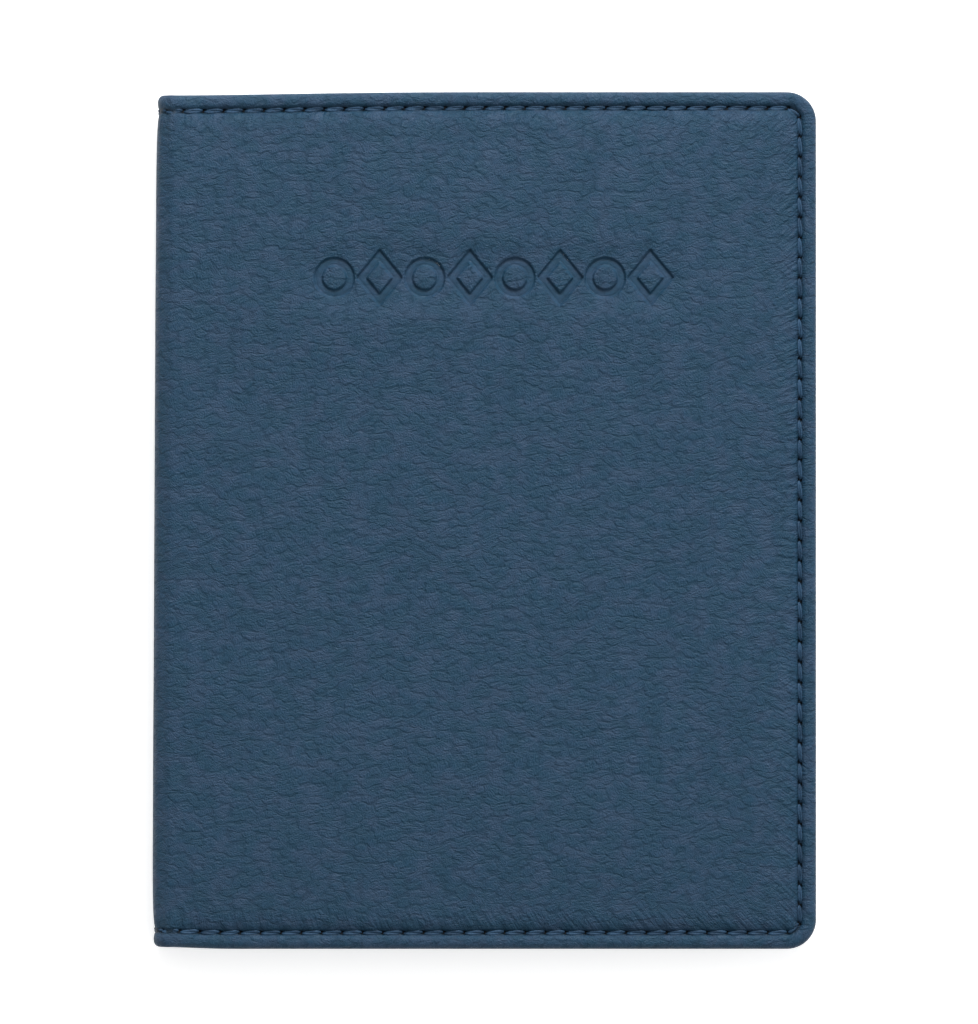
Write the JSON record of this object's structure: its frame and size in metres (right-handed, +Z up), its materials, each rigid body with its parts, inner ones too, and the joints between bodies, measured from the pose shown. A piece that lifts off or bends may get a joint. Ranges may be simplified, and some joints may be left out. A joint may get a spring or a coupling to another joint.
{
  "type": "passport holder",
  "caption": "Bifold leather passport holder with a flat spine, a sleeve in each cover and a stack of card slots in the front cover.",
  "frame": {"origin": "middle of the base of the closed holder, on the surface that it lies on", "axes": "+Z up, out of the front cover; +X from the spine to the fore edge; +Y towards the head of the cover"},
  "size_m": [0.108, 0.1396, 0.0133],
  "materials": {
    "cover_leather": "pebbled navy, satin",
    "inner_leather": "smoother navy, satin",
    "lining_fabric": "dark navy twill",
    "foam_padding": "thin foam felt",
    "stiff_card": "plain grey card",
    "seam_thread": "waxed navy thread"
  },
  "bodies": {
    "back": {"back_cover_leather": "cover_leather", "back_crease_leather": "cover_leather", "back_hem_flaps": "cover_leather", "back_padding": "foam_padding", "back_board": "stiff_card", "back_lining": "lining_fabric", "back_sleeve": "inner_leather", "back_outer_stitches": "seam_thread", "back_inner_stitches": "seam_thread"},
    "spine": {"spine_leather": "cover_leather", "spine_hem_flaps": "cover_leather", "spine_stiffener": "stiff_card", "spine_lining": "lining_fabric", "spine_stitches": "seam_thread"},
    "front": {"front_cover_leather": "cover_leather", "front_crease_leather": "cover_leather", "front_hem_flaps": "cover_leather", "front_padding": "foam_padding", "front_board": "stiff_card", "front_lining": "lining_fabric", "front_sleeve": "inner_leather", "front_outer_stitches": "seam_thread", "front_inner_stitches": "seam_thread", "card_slot_1": "inner_leather", "card_slot_2": "inner_leather", "card_slot_3": "inner_leather", "card_slot_stitches": "seam_thread"}
  },
  "joints": [
    {"name": "back_fold", "type": "hinge", "parent": "back", "child": "spine", "pos_m": [-0.05294, 0, 0.00104], "axis": [0, -1, 0], "range_deg": [0, 90], "deforming": ["back_crease_leather"]},
    {"name": "front_fold", "type": "hinge", "parent": "spine", "child": "front", "pos_m": [-0.05294, 0, 0.01231], "axis": [0, -1, 0], "range_deg": [0, 90], "deforming": ["front_crease_leather"]}
  ]
}
